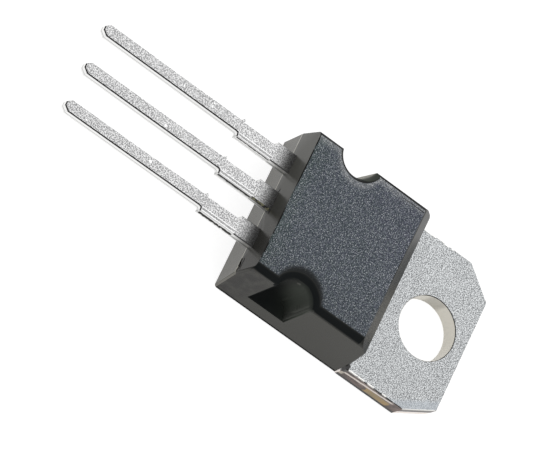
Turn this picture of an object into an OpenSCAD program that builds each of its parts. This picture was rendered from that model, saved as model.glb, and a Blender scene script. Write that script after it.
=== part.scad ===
// Thyristor in a moulded three-lead power package, lying on its metal back.
// Origin: the mounting hole's axis, on the back face of the tab. +Z comes out of the
// front face, +Y runs to the free end of the tab, and the leads point along -Y.

/* [Tab] */
// Width of the metal tab
tab_w = 10.2; // [9.9:0.05:10.4]
// Thickness of the metal tab
tab_t = 1.27; // [1.2:0.01:1.35]
// Diameter of the mounting hole
hole_d = 3.84; // [3.5:0.02:4]
// From the hole's axis to the free end of the tab
tab_end = 2.75; // [2.6:0.05:3]
// From the free end of the tab to the moulded body
tab_free = 6.23; // [6.1:0.01:6.6]
// Length of the clipped corners, along the tab
clip_len = 1.95; // [1:0.05:2.2]
// Width of the clipped corner on the gate side
clip_gate_side = 1.15; // [0.8:0.05:1.8]
// Width of the clipped corner on the cathode side
clip_cathode_side = 1.55; // [0.8:0.05:1.8]

/* [Die pad] */
// Width of the buried die pad at its front face
pad_w = 8.6; // [8.2:0.1:8.8]
// How far the pad's back is set in from its front on each side, as a mould lock
pad_lock = 0.3; // [0.2:0.05:0.4]
// Height of the set-in layer of the pad above the back face
pad_lock_h = 0.5; // [0.4:0.05:0.6]
// From the hole's axis to the inner end of the pad
pad_reach = 10.9; // [10.7:0.1:11]
// Width of the lock groove across the pad
groove_w = 0.36; // [0.2:0.02:0.5]

/* [Body] */
// Width of the moulded body at its back face
body_w = 10.1; // [9.9:0.05:10.15]
// Height of the front face above the back face
body_h = 4.49; // [4.4:0.01:4.6]
// From the hole's axis to the parting line on the lead end
body_reach = 12.8; // [12.7:0.05:13]
// Draft of the two long side walls, in degrees
side_draft = 4.3; // [2:0.1:5]
// Draft of the lead end, both ways from the parting line, in degrees
lead_end_draft = 6.3; // [3:0.1:7]
// Draft of the short wall that stands on the tab, in degrees
tab_end_draft = 9; // [3:0.5:10]
// Drop of the bevel between the front face and the tab end
bevel_drop = 0.98; // [0.6:0.02:1.1]
// Depth of that bevel along the body
bevel_depth = 0.9; // [0.6:0.02:1.1]
// Radius of the two long front edges, and of the pockets' front rims
edge_r = 0.55; // [0.3:0.05:0.65]
// Radius of the upright edges at the four corners of the body
corner_r = 0.18; // [0.1:0.02:0.3]

/* [Side pockets] */
// Radius of each half-round pocket
pocket_r = 1.2; // [1:0.05:1.25]
// From the hole's axis to the pockets' axes, along the body
pocket_reach = 9.55; // [9.4:0.05:9.7]
// How far outside the walls the pockets' axes stand, at the height of the leads
pocket_out = 0.05; // [0:0.01:0.1]
// Height of the pocket floor above the back face
pocket_floor = 1.2; // [1:0.05:1.3]
// Radius of the upright edges at the mouth of a pocket
pocket_edge_r = 0.2; // [0.1:0.02:0.3]
// Copper kept back from a pocket wall
pocket_skin = 0.35; // [0.25:0.05:0.45]

/* [Leads] */
// Distance between neighbouring leads
pitch = 2.54; // [2.5:0.01:2.58]
// Thickness of the lead strip
lead_t = 0.54; // [0.49:0.01:0.6]
// From the back face to the underside of the leads
lead_z = 2.54; // [2.4:0.02:2.72]
// Width of a lead at the board end
pin_w = 0.76; // [0.61:0.01:0.88]
// Width of a lead where it leaves the body
root_w = 1.26; // [1.14:0.02:1.5]
// From the hole's axis to the lead tips
tip_reach = 26.53; // [25.9:0.01:27]
// From the hole's axis to the shoulders that stop against a board
shoulder_reach = 16.56; // [16.3:0.02:16.8]
// From the hole's axis to the inner end of the trimmed stretch
trim_reach = 14.08; // [13.9:0.02:14.4]
// Width left at the very tip, between its two slanted corners
tip_w = 0.26; // [0.2:0.02:0.4]
// Length of the slanted corners at the tip
tip_len = 0.32; // [0.2:0.02:0.5]
// How far each outer lead leans away from the middle one, in degrees
lead_spread = 0.2; // [0:0.05:0.5]

/* [Chip] */
// Side of the square silicon chip
chip_w = 3.8; // [3.2:0.1:4.2]
// Thickness of the chip
chip_t = 0.3; // [0.25:0.01:0.36]
// Thickness of the solder layer under the chip
solder_t = 0.06; // [0.04:0.01:0.1]
// From the hole's axis to the chip's centre
chip_reach = 7.6; // [7.3:0.1:7.7]
// Diameter of each cathode wire
cathode_wire_d = 0.38; // [0.3:0.01:0.42]
// Diameter of the gate wire
gate_wire_d = 0.2; // [0.15:0.01:0.25]

/* [Hidden] */
$fn = 48;
eps = 0.01;
far = 40;                                  // reach of a cutter past the part

body_start = tab_end - tab_free;           // where the body's wall stands on the tab
lead_top = lead_z + lead_t;
parting_z = lead_z;
solder_z = tab_t;
chip_z = tab_t + solder_t;
metal_t = 0.03;                            // front metal on the chip
chip_top = chip_z + chip_t + metal_t;

shoulder_len = 0.8;                        // taper from the tab's width to the pad's
anode_w = 1.7;                             // rising strip of the middle lead
bend_angle = 58;
bend_r = 0.3;                              // inner radius of its two bends
bend_span = 2 * bend_r + lead_t;           // both bends' radii along one face
// Where the first bend starts, how long the slope is, and where the second bend ends.
anode_foot_y = -pad_reach - 0.1;
anode_slope = (lead_top - tab_t - bend_span * (1 - cos(bend_angle))) / sin(bend_angle);
anode_knee_y = anode_foot_y - bend_span * sin(bend_angle) - anode_slope * cos(bend_angle);

head_w = 2.3;                              // inner heads of the outer leads
head_len = 1.25;
head_inset = 1.95;                         // body's lead end to the heads' inner edge
head_shift = 0.1;                          // heads sit outwards from their leads
lock_hole_d = 0.6;
neck_reach = body_reach - head_inset + head_len - 0.1;   // blades run into the heads
cut_x = 0.34;                              // trimmed stretch: edge left after the cut
burr_out = 0.2;
burr_len = 0.12;

gate_x = chip_w / 2 - 0.75;                // gate pad at a corner of the chip
gate_pad_w = 0.9;
moat_w = 0.22;                             // passivation moat round the chip's front
moat_depth = 0.1;
moat_inset = 0.2;

// A plate cut from a flat outline, lying between two heights.
module plate(z0, z1) {
    translate([0, 0, z0]) linear_extrude(z1 - z0) children();
}

// A bar along X whose section is an outline drawn in Y and Z.
module bar_x(w) {
    rotate([90, 0, 90]) translate([0, 0, -w / 2]) linear_extrude(w) children();
}

// Both long sides at once: the same thing again, mirrored in X.
module both_sides() {
    children();
    mirror([1, 0, 0]) children();
}

// ---- heat tab, die pad and anode lead: one stamped piece of copper ----

module tab_outline() {
    half = tab_w / 2;
    polygon([
        [-half, body_start], [-half, tab_end - clip_len],
        [-half + clip_cathode_side, tab_end], [half - clip_gate_side, tab_end],
        [half, tab_end - clip_len], [half, body_start],
        [pad_w / 2, body_start - shoulder_len], [-pad_w / 2, body_start - shoulder_len]
    ]);
}

// The pad, set in by a margin all round, with a bite out of each side by the pockets.
module pad_outline(margin) {
    difference() {
        translate([-pad_w / 2 + margin, -pad_reach + margin])
            square([pad_w - 2 * margin, pad_reach - margin + body_start]);
        both_sides()
            translate([pocket_x, -pocket_reach]) circle(r = pocket_r + pocket_skin + margin);
    }
}

// One bend of the strip: a ring sector in Y and Z, inside a turn of bend_angle.
module bend_section(r) {
    intersection() {
        difference() {
            circle(r = r + lead_t);
            circle(r = r);
        }
        polygon([[0, 0], [0, -far], [far * tan(-bend_angle), -far]]);
    }
}

// The middle lead leaves the pad flush with its front, rises, and runs out level.
// Its section is drawn in Y and Z: two bends and the straight slope between them.
module anode_section() {
    translate([anode_foot_y, tab_t - lead_t]) square([0.5, lead_t]);
    translate([anode_foot_y, tab_t + bend_r]) {
        bend_section(bend_r);
        rotate(-bend_angle)
            translate([-anode_slope, -bend_r - lead_t]) square([anode_slope, lead_t]);
    }
    translate([anode_knee_y, lead_z - bend_r]) rotate(180) bend_section(bend_r);
    translate([-body_reach + 0.3, lead_z]) square([anode_knee_y + body_reach - 0.3, lead_t]);
}

module heat_tab() {
    color("silver") difference() {
        union() {
            plate(0, tab_t) tab_outline();
            plate(pad_lock_h, tab_t) pad_outline(0);
            plate(0, pad_lock_h) pad_outline(pad_lock);
            bar_x(anode_w) anode_section();
            lead_blade();
        }
        translate([0, 0, -1]) cylinder(d = hole_d, h = tab_t + 2);
        translate([0, body_start - 1, tab_t])
            bar_x(far) circle(d = groove_w, $fn = 4);
    }
}

// ---- leads ----

// Outline of one lead outside the body, its axis on x = 0. One edge keeps a stub of
// the tie bar; the other was cut back into the lead and carries a burr.
module lead_outline() {
    polygon([
        [-tip_w / 2, -tip_reach], [tip_w / 2, -tip_reach],
        [pin_w / 2, -tip_reach + tip_len], [pin_w / 2, -shoulder_reach - 0.15],
        [pin_w / 2 + 0.04, -shoulder_reach - 0.04], [root_w / 2, -shoulder_reach],
        [root_w / 2, -neck_reach], [-root_w / 2, -neck_reach],
        [-root_w / 2, -trim_reach], [-cut_x, -trim_reach - 0.08],
        [-cut_x, -shoulder_reach + burr_len], [-pin_w / 2 - burr_out, -shoulder_reach],
        [-pin_w / 2, -shoulder_reach - burr_len], [-pin_w / 2, -tip_reach + tip_len]
    ]);
}

module lead_blade() {
    plate(lead_z, lead_top) lead_outline();
}

// An outer lead ends inside the body in a wide head that the wires land on, with a
// lock hole that the moulding fills. side is -1 or 1.
module outer_lead(side) {
    head_y = -body_reach + head_inset;
    translate([side * pitch, 0, 0]) {
        translate([0, -body_reach, 0]) rotate(side * lead_spread)
            translate([0, body_reach, 0]) lead_blade();
        plate(lead_z, lead_top) difference() {
            translate([side * head_shift - head_w / 2, head_y - head_len])
                square([head_w, head_len]);
            translate([side * (head_shift + head_w / 2 - 0.55), head_y - head_len + 0.5])
                circle(d = lock_hole_d);
        }
    }
}

module cathode_lead() {
    color("silver") outer_lead(-1);
}

module gate_lead() {
    color("silver") outer_lead(1);
}

// ---- chip and its solder ----

module chip_solder() {
    margin = 0.08;
    color("lightgray") plate(solder_z, chip_z)
        translate([0, -chip_reach]) square(chip_w + 2 * margin, center = true);
}

// Square ring that follows the chip's edge.
module chip_ring(inset, w) {
    outer = chip_w - 2 * inset;
    difference() {
        square(outer, center = true);
        square(outer - 2 * w, center = true);
    }
}

module thyristor_chip() {
    active = chip_w - 2 * (moat_inset + moat_w) - 0.1;
    color("dimgray") translate([0, -chip_reach, 0]) {
        difference() {
            plate(chip_z, chip_z + chip_t) square(chip_w, center = true);
            plate(chip_z + chip_t - moat_depth, far) chip_ring(moat_inset, moat_w);
        }
        // cathode metal, with a clear corner for the gate pad
        plate(chip_z + chip_t - eps, chip_top) {
            difference() {
                square(active, center = true);
                translate([gate_x - gate_pad_w, -far]) square([far, far - gate_x + gate_pad_w]);
            }
            translate([gate_x, -gate_x]) square(gate_pad_w, center = true);
        }
    }
}

// ---- bond wires ----

// One turn of a round wire that heads along +X and bends up by angle, or down if it
// is negative.
module wire_bend(d, r, angle) {
    mirror([0, 0, angle < 0 ? 1 : 0])
        translate([0, 0, r]) rotate([90, 0, 0]) rotate([0, 0, -90])
            rotate_extrude(angle = abs(angle)) translate([r, 0]) circle(d = d);
}

// A wire that starts along +X and follows steps of [straight length, radius, angle].
// Its straight runs are a hair thinner than its bends and reach a little way into them.
module wire_run(d, steps, i = 0) {
    bite = 0.03;
    if (i < len(steps)) {
        run = steps[i][0];
        r = steps[i][1];
        angle = steps[i][2];
        translate([-bite, 0, 0]) rotate([0, 90, 0]) cylinder(d = 0.97 * d, h = run + 2 * bite);
        if (angle != 0)
            translate([run, 0, 0]) wire_bend(d, r, angle);
        turn = abs(angle);
        up = angle < 0 ? -1 : 1;
        translate([run + r * sin(turn), 0, up * r * (1 - cos(turn))])
            rotate([0, -angle, 0]) wire_run(d, steps, i + 1);
    }
}

// A wire from a foot on the chip to a foot on a lead head, both pressed flat below.
// It climbs steeply, turns over in one arc and comes down on the head.
module bond_wire(d, from, to) {
    climb = 50;
    fall = 14;
    foot = 0.5;
    sunk = 0.35 * d;                       // how deep each foot is squashed
    r_foot = 1.2 * d;
    r_top = 0.8;
    span = norm(to - from);
    heading = atan2(to[1] - from[1], to[0] - from[0]);
    drop = lead_top - chip_top;
    // the two straight flanks close the loop: horizontal and vertical sums
    run_sum = span - r_foot * (sin(climb) + sin(fall)) - r_top * (sin(climb) + sin(fall));
    rise_sum = drop - r_foot * (cos(fall) - cos(climb)) - r_top * (cos(fall) - cos(climb));
    cross = sin(climb + fall);
    up_run = (run_sum * sin(fall) + rise_sum * cos(fall)) / cross;
    down_run = (run_sum * sin(climb) - rise_sum * cos(climb)) / cross;
    difference() {
        translate([from[0], from[1], chip_top + d / 2 - sunk]) rotate([0, 0, heading])
            translate([-foot, 0, 0]) wire_run(d, [
                [foot, r_foot, climb], [up_run, r_top, -climb - fall],
                [down_run, r_foot, fall], [foot, 0, 0]
            ]);
        translate([from[0], from[1], chip_top - 1]) cylinder(r = 1, h = 1);
        translate([to[0], to[1], lead_top - 1]) cylinder(r = 1, h = 1);
    }
}

module cathode_wire(i) {
    bond_wire(cathode_wire_d,
        [-0.75 + i * 0.65, -chip_reach + (1 - i) * 0.4],
        [-pitch - 0.35 + i * 0.59, -body_reach + head_inset - 0.35]);
}

module cathode_wire_1() {
    color("gainsboro") cathode_wire(0);
}

module cathode_wire_2() {
    color("gainsboro") cathode_wire(1);
}

module gate_wire() {
    color("gainsboro") bond_wire(gate_wire_d,
        [gate_x, -chip_reach - gate_x + 0.1],
        [pitch - 0.2, -body_reach + head_inset - 0.35]);
}

// ---- moulded body ----

// Half-width of the body at a height: its long walls lean in at side_draft.
function wall_x(z) = body_w / 2 - z * tan(side_draft);
pocket_x = wall_x(lead_z) + pocket_out;

// Section along the body in Y and Z: lead end with draft both ways from the parting
// line, flat front, bevel, and the wall on the tab.
module length_section() {
    lead_y = -body_reach;
    wall_top = body_h - bevel_drop;
    wall_y = body_start - (wall_top - tab_t) * tan(tab_end_draft);
    polygon([
        [lead_y + parting_z * tan(lead_end_draft), 0],
        [lead_y, parting_z],
        [lead_y + (body_h - parting_z) * tan(lead_end_draft), body_h],
        [wall_y - bevel_depth, body_h],
        [wall_y, wall_top],
        [body_start, tab_t],
        [body_start, 0]
    ]);
}

// Section across the body in X and Z, with round front edges that touch the leaning
// wall and the front face.
module width_section() {
    centre_z = body_h - edge_r;
    centre_x = wall_x(centre_z) - edge_r / cos(side_draft);
    touch = [centre_x + edge_r * cos(side_draft), centre_z + edge_r * sin(side_draft)];
    polygon([
        [-body_w / 2, 0], [body_w / 2, 0],
        touch, [centre_x, body_h], [-centre_x, body_h], [-touch[0], touch[1]]
    ]);
    for (side = [-1, 1])
        translate([side * centre_x, centre_z]) circle(r = edge_r);
}

// Cutter that rounds an upright edge. The edge stands on the origin, the body lies on
// its -X, +Y side, and both walls that meet there lean in towards the top.
module upright_edge(r, lean_x, lean_y) {
    rotate([-lean_y, -lean_x, 0]) linear_extrude(far, center = true) difference() {
        translate([-r, -1]) square([r + 1, r + 1]);
        translate([-r, r]) circle(r = r + 0.004);
    }
}

// Whatever of its children stands above a height.
module above(z) {
    intersection() {
        children();
        translate([-far, -far, z]) cube([2 * far, 2 * far, far]);
    }
}

// The upright edges of the body, +X side. The lead end has two, one above and one
// below the parting line, and each clears the other's half.
module corner_edges() {
    translate([wall_x(parting_z), -body_reach, parting_z]) {
        upright_edge(corner_r, side_draft, lead_end_draft);
        upright_edge(corner_r, side_draft, -lead_end_draft);
    }
    translate([wall_x(tab_t), body_start, tab_t])
        mirror([0, 1, 0]) upright_edge(corner_r, side_draft, tab_end_draft);
}

// Half-round pocket, with a mouth that rolls over onto the front face and rounded
// upright edges.
module pocket() {
    roll_z = body_h - edge_r;
    translate([pocket_x, -pocket_reach, 0]) {
        translate([0, 0, pocket_floor]) cylinder(r = pocket_r, h = far);
        rotate_extrude() difference() {
            translate([0, roll_z]) square([pocket_r + edge_r, 1]);
            translate([pocket_r + edge_r, roll_z]) circle(r = edge_r);
        }
        for (end = [0, 1])
            above(pocket_floor) mirror([0, end, 0])
                translate([-pocket_out, pocket_r - 0.02, lead_z])
                    upright_edge(pocket_edge_r, side_draft, 0);
    }
}

// Shallow scar left by the gate of the mould, just above the parting line.
module gate_scar() {
    scar_w = 0.76;
    scar_h = 0.26;
    r = (scar_w * scar_w / 4 + scar_h * scar_h) / (2 * scar_h);
    intersection() {
        translate([wall_x(parting_z) - 0.48, -body_reach + 0.14, parting_z + scar_h - r])
            rotate([90, 0, 0]) cylinder(r = r, h = 1);
        translate([0, -far, parting_z]) cube([far, far, 1]);
    }
}

module moulded_body() {
    color([0.26, 0.28, 0.31]) difference() {
        intersection() {
            bar_x(far) length_section();
            rotate([90, 0, 0]) linear_extrude(far) width_section();
        }
        both_sides() {
            pocket();
            corner_edges();
        }
        gate_scar();
        heat_tab();
        cathode_lead();
        gate_lead();
        chip_solder();
        thyristor_chip();
        cathode_wire_1();
        cathode_wire_2();
        gate_wire();
    }
}

moulded_body();
heat_tab();
cathode_lead();
gate_lead();
thyristor_chip();
chip_solder();
cathode_wire_1();
cathode_wire_2();
gate_wire();
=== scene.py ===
from math import pi, radians

import bmesh
import bpy
from mathutils import Matrix, Vector


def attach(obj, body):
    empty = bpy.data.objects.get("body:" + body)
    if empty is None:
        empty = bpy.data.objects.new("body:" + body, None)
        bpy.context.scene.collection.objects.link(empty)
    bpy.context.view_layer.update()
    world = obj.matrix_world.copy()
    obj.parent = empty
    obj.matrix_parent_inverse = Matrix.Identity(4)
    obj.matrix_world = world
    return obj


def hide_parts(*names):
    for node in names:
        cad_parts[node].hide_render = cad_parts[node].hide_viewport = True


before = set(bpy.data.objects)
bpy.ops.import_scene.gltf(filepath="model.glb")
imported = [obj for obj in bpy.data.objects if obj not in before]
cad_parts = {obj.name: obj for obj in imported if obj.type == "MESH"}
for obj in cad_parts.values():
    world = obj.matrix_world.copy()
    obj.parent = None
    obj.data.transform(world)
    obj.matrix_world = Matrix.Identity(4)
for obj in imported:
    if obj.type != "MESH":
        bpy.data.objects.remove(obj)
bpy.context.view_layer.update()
scene = bpy.context.scene
scene.view_settings.view_transform = "Standard"

# ---- Table ----
# The part lies on its metal back on a plain white table. The table shows white to the
# camera and in reflections, and keeps the part's own soft shadow.


class Wire:
    """A socket of a shader tree. Arithmetic on it adds the Math nodes that it needs."""

    def __init__(self, tree, socket=None):
        self.tree = tree
        self.socket = socket

    def add(self, kind, inputs=None, out=0, **settings):
        """Adds one node: its settings first, then its sockets' values or links."""
        node = self.tree.nodes.new("ShaderNode" + kind)
        for name, value in settings.items():
            setattr(node, name, value)
        for name, value in (inputs or {}).items():
            if isinstance(value, Wire):
                self.tree.links.new(value.socket, node.inputs[name])
            elif node.inputs[name].type == "RGBA":
                node.inputs[name].default_value = (*value, 1)
            else:
                node.inputs[name].default_value = value
        return Wire(self.tree, node.outputs[out] if len(node.outputs) else None)

    def parts(self):
        """The three numbers of a vector."""
        split = self.add("SeparateXYZ", {0: self})
        return [Wire(self.tree, socket) for socket in split.socket.node.outputs]

    def math(self, operation, *terms):
        """One Math node."""
        return self.add("Math", dict(enumerate(terms)), operation=operation)

    def __add__(self, other): return self.math("ADD", self, other)
    def __radd__(self, other): return self.math("ADD", other, self)
    def __sub__(self, other): return self.math("SUBTRACT", self, other)
    def __rsub__(self, other): return self.math("SUBTRACT", other, self)
    def __mul__(self, other): return self.math("MULTIPLY", self, other)
    def __rmul__(self, other): return self.math("MULTIPLY", other, self)
    def __abs__(self): return self.math("ABSOLUTE", self)

    def rise(self, low, high):
        """0 at low, 1 at high and smooth between. low may be the larger."""
        return self.add("MapRange", {0: self, 1: low, 2: high},
                        interpolation_type="SMOOTHSTEP")

    def band(self, low, high, soft):
        """1 between low and high, with soft borders, and 0 outside."""
        half = soft / 2
        return self.rise(low - half, low + half) * self.rise(high + half, high - half)

    def mix(self, low, high):
        """The colour low where this is 0, and high where it is 1."""
        return self.add("Mix", {0: self, 6: low, 7: high}, out=2, data_type="RGBA")

    def noise(self, spot, grains, detail=2, roughness=0.5):
        """A noise with that many grains to a millimetre."""
        return self.add("TexNoise", {"Vector": spot, "Scale": grains * 1000, "Detail": detail,
                                     "Roughness": roughness})


def new_material(name):
    """An empty material and the Wire that its nodes are added from."""
    material = bpy.data.materials.new(name)
    material.use_nodes = True
    material.node_tree.nodes.clear()
    return material, Wire(material.node_tree)


def place_piece(name, shape, material):
    """A finished bmesh as an object of its own, at the origin."""
    mesh = bpy.data.meshes.new(name)
    shape.to_mesh(mesh)
    mesh.materials.append(material)
    piece = bpy.data.objects.new(name, mesh)
    scene.collection.objects.link(piece)
    return piece


WHITE = (1, 1, 1)
TABLE_GREY = 0.55
TABLE_HALF_WIDTH = 1.5
GLOW_TO_CAMERA = 0.8
GLOW_IN_MIRRORS = 0.66
table_white, paint = new_material("table_white")
seen = paint.add("LightPath")
shone = Wire(seen.tree, seen.socket.node.outputs["Is Glossy Ray"])
paint.add("OutputMaterial", {"Surface": paint.add("AddShader", {
    0: paint.add("BsdfDiffuse", {"Color": (TABLE_GREY, TABLE_GREY, TABLE_GREY)}),
    1: paint.add("Emission", {
        "Color": WHITE, "Strength": seen * GLOW_TO_CAMERA + shone * GLOW_IN_MIRRORS}),
})})
slab = bmesh.new()
bmesh.ops.create_grid(slab, x_segments=1, y_segments=1, size=TABLE_HALF_WIDTH)
place_piece("table", slab, table_white)

# ---- Light ----
# An even white room, which the camera sees brighter than it lights the part, and one
# large soft lamp that the flat tops mirror.
ROOM_GLOW = 0.62
BACKDROP_GLOW = 1.1
LAMP_WIDTH = 0.20
LAMP_GLOW = 1.0
lamp_place = Vector((-0.21, 0.13, 0.32))
lamp_aim = Vector((0, -0.01, 0))
room = bpy.data.worlds.new("white_room")
scene.world = room
room.use_nodes = True
room.node_tree.nodes.clear()
air = Wire(room.node_tree)
seen = air.add("LightPath")
air.add("OutputWorld", {"Surface": air.add("Background", {
    "Color": WHITE, "Strength": seen * (BACKDROP_GLOW - ROOM_GLOW) + ROOM_GLOW})})
light = bpy.data.lights.new("top_lamp", "AREA")
light.size = LAMP_WIDTH
light.energy = LAMP_GLOW * pi * LAMP_WIDTH * LAMP_WIDTH
lamp = bpy.data.objects.new("top_lamp", light)
lamp.location = lamp_place
lamp.rotation_euler = (lamp_aim - lamp_place).to_track_quat("-Z", "Y").to_euler()
scene.collection.objects.link(lamp)

# ---- Camera ----
# A long lens, 322 mm from the part, above the leads on the gate side. It is turned about
# its line of sight, so that the leads point to the upper left.
eye = Vector((0.13022, -0.12269, 0.26832))
sight = Vector((-0.40955, 0.35111, -0.84201)).normalized()
across = Vector((-0.40060, 0.76001, 0.51177)).normalized()
lens = bpy.data.cameras.new("camera")
lens.sensor_width = 36
lens.lens = 366.2
lens.clip_start = 0.01
camera = bpy.data.objects.new("camera", lens)
camera.matrix_world = Matrix.Translation(eye) @ Matrix(
    (across, across.cross(sight), -sight)).transposed().to_4x4()
scene.collection.objects.link(camera)
scene.camera = camera

# ---- Heat tab, die pad and middle lead ----
# One stamped piece of copper, thick at the tab and thinner at the lead, tinned after
# moulding. Stamping rolled its upper edges over, and the cut edges show bare copper.
TAB_TOP = 0.00127
LEAD_TOP = 0.00308
BODY_END = -0.0127
BODY_FOOT = -0.0034
BURRS_FROM, BURRS_TO = -0.0169, -0.0141
BURR_SIDE = 0.0003
LEAD_ARRIS = 0.00006
TAB_ARRIS = 0.00004
SLACK = 1e-5
# from here on, the finishes count in millimetres
GRAINS = 14
CUT_FROM, CUT_TO = -16.50, -14.12
# the upward part of the normal on an upright side, and on an edge that was broken
UPRIGHT = (-0.6, 0.4, 0.2)
BROKEN = (0.35, 0.93, 0.1)


def solid_copy(node):
    """A node's mesh, its loose triangles joined into whole faces."""
    shape = bmesh.new()
    shape.from_mesh(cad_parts[node].data)
    bmesh.ops.remove_doubles(shape, verts=shape.verts, dist=1e-7)
    bmesh.ops.dissolve_limit(shape, angle_limit=radians(0.5), verts=shape.verts, edges=shape.edges)
    return shape


def break_edges(shape, chosen, width):
    """Takes the sharpness off the chosen edges."""
    bmesh.ops.bevel(shape, geom=[e for e in shape.edges if chosen(*(v.co for v in e.verts))],
                    offset=width, offset_type="OFFSET", segments=1, profile=0.5,
                    affect="EDGES", clamp_overlap=False, material=-1)


def stand_for(name, node, shape, material):
    """The finished shape takes its node's place, with its flat faces shaded flat."""
    piece = place_piece(name, shape, material)
    for face in piece.data.polygons:
        face.use_smooth = True
    piece.data.set_sharp_from_angle(angle=radians(30))
    piece.modifiers.new("flat_faces", "WEIGHTED_NORMAL").keep_sharp = True
    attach(piece, "root")
    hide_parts(node)


def lead_arrises(shape, lead_x):
    """Breaks the upper edges outside the body, but not the burrs on the cathode side."""
    bmesh.ops.bisect_plane(shape, geom=[*shape.verts, *shape.edges, *shape.faces], dist=1e-6,
                           plane_co=(0, BODY_END, 0), plane_no=(0, 1, 0))

    def rolled(a, b):
        burred = (BURRS_FROM < min(a.y, b.y) < BURRS_TO
                  and max(a.x, b.x) < lead_x - BURR_SIDE)
        return (min(a.z, b.z) > LEAD_TOP - SLACK and max(a.y, b.y) < BODY_END + SLACK
                and min(a.y, b.y) < BODY_END - SLACK and not burred)

    break_edges(shape, rolled, LEAD_ARRIS)


def tab_arris(a, b):
    """An upper edge of the tab, outside the body, or the rim of its hole."""
    return (abs(a.z - TAB_TOP) < SLACK and abs(b.z - TAB_TOP) < SLACK
            and max(a.y, b.y) > BODY_FOOT)


def distance_squared(x, y, centre):
    """The square of the distance from an upright line through the centre."""
    across, along = x - centre[0], y - centre[1]
    return across * across + along * along


def tin_finish(name, lead_x, tear, scuffs, dress=None):
    """Dull tin with a fine grain. lead_x is the lead's axis, tear the heights of the torn
    face where the tie bar was cut off, and scuffs the places and half widths of small
    burnished marks. dress adds what the piece shows besides."""
    material, wire = new_material(name)
    spot = wire.add("TexCoord", out=3)
    x, y, z = (part * 1000 for part in spot.parts())
    nx, ny, nz = wire.add("TexCoord", out=1).parts()
    grain = wire.noise(spot, GRAINS, 1)
    cloud = wire.noise(spot, 1.1, 3)
    ragged = (wire.noise(spot, 6, 2) - 0.5) * 0.16
    low = nz.band(*UPRIGHT)
    rim = nz.band(*BROKEN)
    lead = z.rise(2.0, 2.1)
    out = x - lead_x
    plate = grain.rise(0.38, 0.62).mix((0.25, 0.25, 0.255), (0.81, 0.81, 0.81))
    for mark_x, mark_y, half in scuffs:
        inside = distance_squared(x, y, (mark_x, mark_y))
        inside = inside.rise(half * half * 1.4, half * half * 0.6)
        plate = (inside * 0.9).mix(plate, WHITE)
    # the sides are painted bright, a painted reflection of the table, with one faint line low down
    plate = (low * lead).mix(plate, (0.95, 0.95, 0.94))
    plate = (low * lead * z.band(2.70, 2.77, 0.04) * 0.6).mix(plate, (0.3, 0.3, 0.3))
    # painted dark reflection: the broken edges are black where they face the gate side or
    # the leads' tips
    cut = y.band(CUT_FROM, CUT_TO, 0.06) * lead
    rolled = rim * (nx - ny).rise(0.12, 0.22) * (1 - cut)
    rolled = rolled * (1 - lead * y.rise(CUT_TO - 0.03, CUT_TO + 0.07) * 0.2)
    plate = rolled.mix(plate, (0.010, 0.010, 0.010))
    # cut tie bar: painted white highlights on its burrs; a scuffed strip above a torn dark face
    top = cut * (1 - low)
    edge = out.rise(0.45, 0.50)
    scuffed = top * (out + ragged * 0.3).band(0.41, 0.50, 0.04)
    plate = (scuffed * 0.75).mix(plate, (0.30, 0.30, 0.30))
    burr_highlight = (out + ragged * 0.1).band(0.34, 0.38, 0.03) + out.rise(0.52, 0.55)
    plate = (top * burr_highlight).mix(plate, WHITE)
    plate = (cut * rim * edge).mix(plate, WHITE)
    torn = cut * low * edge * (z + ragged).band(*tear, 0.04)
    torn = torn * wire.noise(spot, 4, 1).rise(0.28, 0.36)
    plate = torn.mix(plate, (0.012, 0.010, 0.008))
    # the root: a faint line along its side, and a painted shade towards the black body
    root = lead * low * y.rise(CUT_TO, CUT_TO + 0.06) * out.rise(0.50, 0.58)
    plate = (root * z.band(2.60, 2.72, 0.05) * 0.7).mix(plate, (0.25, 0.25, 0.25))
    root_shade = lead * y.rise(-14.25, -12.95)
    plate = (root_shade * (0.83 - low * 0.5)).mix(plate, (0.06, 0.06, 0.058))
    metal = (1 - torn * 0.9) * (1 - rolled)
    dull = 0.28 + cloud * 0.12 + torn * 0.3 + rolled * 0.5
    if dress:
        plate, metal, dull = dress(wire, spot, (x, y, z), (nx, nz), plate, metal, dull)
    bump = wire.add("Bump", {"Strength": 0.35, "Distance": 0.00002, "Height": grain * (1 - rim)})
    skin = wire.add("BsdfPrincipled", {
        "Base Color": plate, "Metallic": metal, "Roughness": dull, "Normal": bump})
    wire.add("OutputMaterial", {"Surface": skin})
    return material


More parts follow.
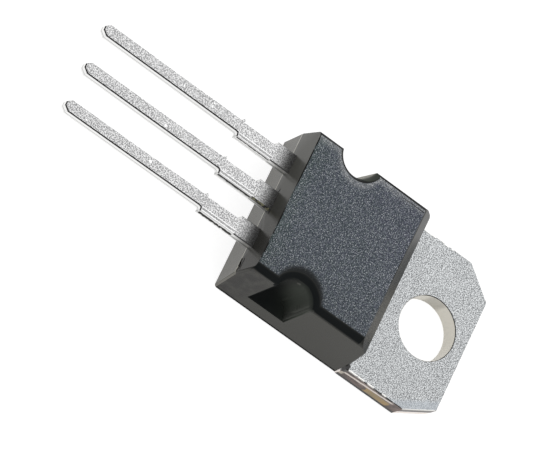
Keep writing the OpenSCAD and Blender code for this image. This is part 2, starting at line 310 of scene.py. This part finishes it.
def tab_dress(wire, spot, place, facing, plate, metal, dull):
    """What the tab adds: greyer tin, and bare copper on its cut edges."""
    x, y, z = place
    nx, nz = facing
    ragged = (wire.noise(spot, 2.6, 2) - 0.5) * 0.3
    fine = wire.noise(spot, 18, 1)
    streak = wire.noise(spot, 1.4, 3)
    tab = y.rise(-3.6, -3.5) * z.rise(1.35, 1.30)
    low = tab * nz.band(*UPRIGHT)
    rim = tab * nz.band(*BROKEN)
    top = tab * nz.rise(0.93, 0.97)
    grey_tin = fine.rise(0.38, 0.62).mix((0.15, 0.155, 0.16), (0.72, 0.74, 0.75))
    plate = top.mix(plate, grey_tin)
    # the tin by the clipped corner on the gate side is bluer and smoother
    smooth = top * (x * 0.857 + y * 0.514 + ragged).rise(4.10, 4.40)
    blue_tin = fine.rise(0.3, 0.7).mix((0.44, 0.48, 0.52), (0.66, 0.70, 0.74))
    plate = (smooth * 0.7).mix(plate, blue_tin)
    # the long cut edges: purple-brown copper with one golden patch
    flank = low * abs(nx).rise(0.94, 0.98)
    copper = streak.rise(0.40, 0.62).mix((0.088, 0.058, 0.048), (0.26, 0.178, 0.152))
    gold = (y + ragged * 1.5).band(-1.62, 0.12, 0.12) * (z + ragged * 0.7).band(0.06, 0.82, 0.06)
    golden = streak.rise(0.35, 0.65).mix((0.50, 0.33, 0.12), (0.36, 0.28, 0.14))
    copper = gold.mix(copper, golden)
    # a cream strip along their top with a dark line over it, a black foot that is painted
    # shadow, and a pale sliver next to the body
    cream = (z + ragged * 0.5 - y * 0.068).band(0.93, 1.12, 0.05) * y.rise(0.3, 0.0)
    copper = cream.mix(copper, (1.0, 0.90, 0.82))
    dark_line = (z + ragged * 0.3).rise(1.15, 1.19) * y.rise(0.1, -0.1)
    copper = dark_line.mix(copper, (0.02, 0.018, 0.016))
    copper = z.rise(0.28, 0.21).mix(copper, (0.006, 0.004, 0.003))
    sliver = (y + ragged * 0.6).rise(-3.22, -3.30) * (z + ragged * 0.5).band(0.36, 0.84, 0.06)
    copper = sliver.mix(copper, (0.66, 0.60, 0.50))
    # the end and the clipped corners: pale, with a torn upper half, darkest on the gate side
    gate_clip = x.rise(3.6, 4.0) * y.rise(2.75, 2.70)
    torn = (z + ragged * 0.3).rise(0.60, 0.66) * (0.3 + gate_clip * 0.7)
    plate = low.mix(plate, torn.mix((0.94, 0.87, 0.82), (0.03, 0.018, 0.014)))
    plate = flank.mix(plate, copper)
    # darker and mottled on the gate side of the lead's root
    root_mottle = nz.rise(0.93, 0.8) * (z + ragged * 0.6).rise(2.76, 2.84)
    root_mottle = root_mottle * y.rise(-14.2, -14.0) * x.rise(0.5, 0.6)
    mottled = wire.noise(spot, 5, 2).rise(0.46, 0.56)
    plate = root_mottle.mix(plate, mottled.mix((0.006, 0.006, 0.005), (0.22, 0.21, 0.12)))
    # painted highlight of a thin burr along the top of the long edges and of that clipped corner
    verge = top + rim
    burr_highlight = verge * (abs(x) + ragged * 0.15).rise(4.99, 5.02)
    burr_highlight = burr_highlight * (ragged + y * 0.03).rise(-0.02, -0.06)
    clip_burr_highlight = (x * 0.861 + y * 0.508 + ragged * 0.1).rise(4.725, 4.745) * x.rise(3.9, 4.0)
    plate = (burr_highlight + verge * clip_burr_highlight).mix(plate, (1, 0.99, 0.96))
    # the wall of the hole is pale and smooth, a painted reflection of the table below it
    hole = low * distance_squared(x, y, (0, 0)).rise(4.1, 3.9)
    plate = hole.mix(plate, (0.80, 0.77, 0.69))
    # darker on the tab's edges at the body's foot; painted shade in the nooks of the lead's neck
    dark_at_body = z.rise(1.35, 1.3) * (y + ragged * 0.4).rise(-3.28, -3.36) * abs(x).rise(4.70, 4.80)
    dark_at_body = dark_at_body * (z + ragged).rise(0.78, 0.84)
    dark_at_body = dark_at_body + z.rise(2.0, 2.1) * abs(x).rise(0.64, 0.66) * y.rise(-12.80, -12.76)
    plate = dark_at_body.mix(plate, (0.015, 0.015, 0.014))
    metal = metal * (1 - flank * 0.8) * (1 - hole * 0.4) * (1 - dark_at_body) * (1 - root_mottle * 0.8)
    return plate, metal, dull + smooth * 0.1


tab_shape = solid_copy("heat_tab")
lead_arrises(tab_shape, 0)
break_edges(tab_shape, tab_arris, TAB_ARRIS)
tab_tin = tin_finish("tin_on_tab", 0, (2.80, 3.03),
                     ((0.16, -20.68, 0.09), (-1.75, -1.27, 0.07)), tab_dress)
stand_for("tab_piece", "heat_tab", tab_shape, tab_tin)

# ---- Outer leads ----
# Flat strips of the same tinned copper, stamped with the tab and cut apart after
# moulding. The cathode lead is on the -X side and the gate lead on the +X side.
for name, node, lead_x, tear, scuffs in (
        ("cathode_piece", "cathode_lead", -2.54, (2.89, 3.05), (
            (-2.55, -20.74, 0.06), (-2.52, -18.67, 0.07),
            (-2.16, -18.99, 0.06), (-2.75, -18.64, 0.05))),
        ("gate_piece", "gate_lead", 2.54, (2.66, 2.93), (
            (2.52, -20.52, 0.10), (2.72, -25.03, 0.05), (2.02, -24.61, 0.05)))):
    strip = solid_copy(node)
    lead_arrises(strip, lead_x / 1000)
    lead_tin = tin_finish("tin_on_" + node, lead_x, tear, scuffs)
    stand_for(name, node, strip, lead_tin)

# ---- Solder under the chip ----
# A thin layer of soft solder, melted between the chip and the pad, dull with a pebbled
# freeze pattern.


def finish_node(node, material):
    """Gives a solid that keeps its own shape its material."""
    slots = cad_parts[node].data.materials
    slots.clear()
    slots.append(material)


soft_solder, wire = new_material("soft_solder")
spot = wire.add("TexCoord", out=3)
pebble = wire.noise(spot, 5, 3)
wire.add("OutputMaterial", {"Surface": wire.add("BsdfPrincipled", {
    "Base Color": pebble.rise(0.3, 0.7).mix((0.30, 0.30, 0.31), (0.52, 0.52, 0.53)),
    "Metallic": 0.9, "Roughness": 0.35 + pebble * 0.3,
    "Normal": wire.add("Bump", {"Strength": 0.4, "Distance": 0.00003, "Height": pebble})})})
finish_node("chip_solder", soft_solder)

# ---- Chip ----
# A square of silicon with a glass-filled moat round its front. Its cathode and its gate
# corner are covered with white metal; the sawn sides are dark grey.
chip_finish, wire = new_material("silicon_and_front_metal")
spot = wire.add("TexCoord", out=3)
z = spot.parts()[2] * 1000
nz = wire.add("TexCoord", out=1).parts()[2]
frost = wire.noise(spot, 12, 2)
fronted = nz.rise(0.8, 0.9) * z.rise(1.635, 1.645)
moat = nz.rise(0.8, 0.9) * z.rise(1.60, 1.55)
colour = frost.rise(0.3, 0.7).mix((0.050, 0.052, 0.060), (0.085, 0.088, 0.098))
colour = moat.mix(colour, (0.16, 0.20, 0.17))
white_metal = frost.rise(0.3, 0.7).mix((0.66, 0.66, 0.65), (0.84, 0.84, 0.83))
colour = fronted.mix(colour, white_metal)
wire.add("OutputMaterial", {"Surface": wire.add("BsdfPrincipled", {
    "Base Color": colour, "Metallic": fronted * 0.9 + 0.05, "Roughness": 0.3 + frost * 0.25,
    "Normal": wire.add("Bump", {"Strength": 0.2, "Distance": 0.00001, "Height": frost})})})
finish_node("thyristor_chip", chip_finish)

# ---- Bond wires ----
# Soft aluminium wire, drawn and then pressed onto the chip and the lead heads by an
# ultrasonic tool. Fine draw marks run along it.
drawn_aluminium, wire = new_material("drawn_aluminium")
spot = wire.add("TexCoord", out=3)
mark = wire.noise(wire.add("Mapping", {"Vector": spot, "Scale": (6, 1, 6)}), 5, 2)
wire.add("OutputMaterial", {"Surface": wire.add("BsdfPrincipled", {
    "Base Color": mark.rise(0.3, 0.7).mix((0.70, 0.71, 0.72), (0.88, 0.885, 0.89)),
    "Metallic": 1.0, "Roughness": 0.25 + mark * 0.2,
    "Normal": wire.add("Bump", {"Strength": 0.15, "Distance": 0.00001, "Height": mark})})})
for node in ("cathode_wire_1", "cathode_wire_2", "gate_wire"):
    finish_node(node, drawn_aluminium)

# ---- Moulded body ----
# Black moulding compound, pressed round the copper. The mould's front is spark-worked
# and leaves a fine sparkle; its polished walls leave the body smooth. Some light and
# shade is painted on: the gate side is darker than the cathode side.
PARTING = 2.54
POCKET_X, POCKET_Y = 4.55, -9.55
compound, wire = new_material("moulding_compound")
spot = wire.add("TexCoord", out=3)
x, y, z = (part * 1000 for part in spot.parts())
nx, ny, nz = wire.add("TexCoord", out=1).parts()
grain = wire.noise(spot, GRAINS, 1)
speck = wire.noise(spot, 18, 0)
tint = wire.noise(spot, 7, 1)
cloud = wire.noise(spot, 0.5, 2)
streak = wire.noise(wire.add("Mapping", {"Vector": spot, "Scale": (1, 1, 0.15)}), 9, 2)
cathode_side = x.rise(0.5, -0.5)
gate_side = x.rise(-0.5, 0.5)
flat = abs(nx).rise(0.95, 0.99)
ends = ny.rise(-0.8, -0.95)

# the front, whose finish also runs a little over the cathode side's rims as a painted highlight
pale_side = cathode_side * abs(ny).rise(0.5, 0.3)
front = (nz + pale_side * 0.08).rise(0.972, 0.996) * (z + pale_side * 0.2).rise(4.40, 4.44)
# painted shade makes the front darker and greener towards the lead end and the gate side
hue = tint.rise(0.30, 0.70) * 0.4 + y.rise(-12.6, -11.2) * 0.35 + (y - x).rise(-9, 0) * 0.25
face = hue.mix((0.086, 0.124, 0.124), (0.116, 0.126, 0.178))
dark_face = hue.mix((0.020, 0.038, 0.040), (0.031, 0.036, 0.064))
face = grain.rise(0.55, 0.75).mix(face, (0.33, 0.36, 0.39))
face = grain.rise(0.36, 0.62).mix(dark_face, face)
face = speck.rise(0.68, 0.76).mix(face, (0.72, 0.75, 0.78))
# painted highlight: the cathode side's rims and its pocket's rim are paler, with bright specks
verge = pale_side * distance_squared(x, y, (-POCKET_X, POCKET_Y)).rise(2.9, 1.8)
verge = x.rise(-3.9, -4.4) + verge
face = (verge * (0.18 + speck.rise(0.56, 0.66) * 0.7)).mix(face, (0.60, 0.61, 0.61))

# painted shade: the front darkens towards its gate edge and round the gate side's pocket
edge_shade = x.rise(4.18, 4.80) + distance_squared(x, y, (POCKET_X, POCKET_Y)).rise(3.5, 1.85)
face = (x.rise(1.0, 4.5) * 0.14).mix(face, (0.004, 0.004, 0.004))
face = edge_shade.rise(0, 1.2).mix(face, (0.012, 0.014, 0.015))
# painted dark reflection: a broken black line along the front's edge at the lead end
brink = front * y.rise(-12.50, -12.53) * (0.35 + wire.noise(spot, 1.2, 2).rise(0.45, 0.55) * 0.65)
face = brink.mix(face, (0.001, 0.001, 0.001))

# the side walls: nearly black, darker and mottled towards the leads, with a bright line
# painted as a highlight on the rounded top edge, and a dark foot painted as a shadow
wall = cloud.rise(0.3, 0.7).mix((0.009, 0.010, 0.009), (0.011, 0.012, 0.010))
dark_mottle = wire.noise(spot, 1.6, 3).rise(0.35, 0.65) * y.rise(-10.6, -11.4)
wall = flat.mix(wall, dark_mottle.mix((0.012, 0.0115, 0.003), (0.004, 0.002, 0.000)))
fillet_highlight = abs(nx).rise(0.85, 0.90) * nz.band(0.13, 0.34, 0.06) * y.rise(-10.8, -11.0)
wall = fillet_highlight.mix(wall, (0.055, 0.054, 0.048))
foot_shadow = flat * z.rise(0.20, 0.13)
wall = foot_shadow.mix(wall, (0.001, 0.001, 0.001))
# painted highlight on the gate side's corner at the lead end, paler below the parting line
corner = nx.band(0.35, 0.93, 0.1) * ny.rise(-0.3, -0.4) * nz.rise(0.4, 0.3)
wall = corner.mix(wall, z.rise(2.6, 2.5).mix((0.06, 0.059, 0.055), (0.26, 0.25, 0.22)))

# the end wall round the leads: streaked below the parting line, and above it smooth and
# painted darker towards the gate side as painted shade, with a painted highlight on the
# flash along the line, and a slit near its end
streaked = streak.rise(0.3, 0.7).mix((0.060, 0.056, 0.037), (0.094, 0.090, 0.064))
wall = (ends * z.rise(PARTING + 0.02, PARTING - 0.02)).mix(wall, streaked)
above = x.rise(3.5, -3.5).mix((0.027, 0.0265, 0.023), (0.098, 0.098, 0.088))
wall = (ends * z.rise(PARTING, PARTING + 0.04)).mix(wall, above)
flash_highlight = ny.rise(-0.7, -0.9) * z.band(PARTING - 0.05, PARTING + 0.04, 0.04)
wall = flash_highlight.mix(wall, (0.62, 0.60, 0.52))
slit = ends * x.band(3.86, 4.66, 0.05) * (z.band(2.55, 2.71, 0.04) + z.band(2.84, 2.92, 0.03))
wall = slit.mix(wall, (0.001, 0.001, 0.001))

# the pockets' round walls are matt, with painted shade on their lead-end half, painted
# lighter at the mouth, and a pale lip painted as a highlight on the cathode side
pocket = abs(abs(x) - 4.5).rise(0.9, 0.8) * (y - POCKET_Y).band(-1.45, 1.45, 0.1) * (1 - front)
pocket = pocket * z.rise(1.0, 1.1) * abs(nx).rise(0.998, 0.99)
pocket = pocket * (z - cathode_side * 0.14).rise(4.4, 4.2)
mouth = abs(x).rise(4.05, 4.95) * y.rise(-9.6, -8.9) * nz.rise(0.6, 0.3)
round_wall = y.rise(-10.0, -9.1).mix((0.012, 0.014, 0.012), (0.042, 0.050, 0.040))
lip_highlight = z.rise(4.12, 3.98).mix((0.19, 0.195, 0.165), (0.95, 0.93, 0.84))
mouth_wall = cathode_side.mix((0.085, 0.090, 0.080), lip_highlight)
wall = pocket.mix(wall, mouth.mix(round_wall, mouth_wall))

# painted shade, black without gloss: on the gate side's rims, in the depth of its pocket
# and where the front is painted darker, faintly on the side walls, and on the cathode side
# just below the rims that share the front's finish
rim_black = (nz - pocket * 0.4).rise(0.12, 0.45) * nz.rise(0.998, 0.93) * z.rise(3.7, 3.8)
deep = (z + y * 1.47 - x * 0.78).rise(-13.2, -16.0)
rim_black = rim_black + pocket * (z.rise(3.8, 4.4) * 0.8 + deep * 0.85)
rim_black = rim_black * gate_side * y.band(-12.60, -4.74, 0.02)
rim_black = rim_black + front * edge_shade.rise(0.15, 1.5) * 0.9 + flat * (0.06 + dark_mottle * 0.20)
rim_black = rim_black + (1 - front) * pale_side * nz.rise(0.3, 0.4) * z.rise(4.0, 4.1) * 0.8
matt = wire.add("BsdfPrincipled", {
    "Base Color": cloud.rise(0.3, 0.7).mix((0.010, 0.012, 0.0125), (0.013, 0.015, 0.0155)),
    "Roughness": 0.6, "Specular IOR Level": 0.06})
dull = 0.27 + front * 0.28 + pocket * 0.4 + foot_shadow * 0.6 + (brink + slit) * 0.6
skin = wire.add("BsdfPrincipled", {
    "Base Color": front.mix(wall, face), "Roughness": dull,
    "Specular IOR Level": 0.41, "Specular Tint": (1, 0.985, 0.945),
    "Normal": wire.add("Bump", {
        "Strength": 0.5, "Distance": 0.00002, "Height": grain * front})})
wire.add("OutputMaterial", {"Surface": wire.add("MixShader", {0: rim_black, 1: skin, 2: matt})})
stand_for("body_piece", "moulded_body", solid_copy("moulded_body"), compound)
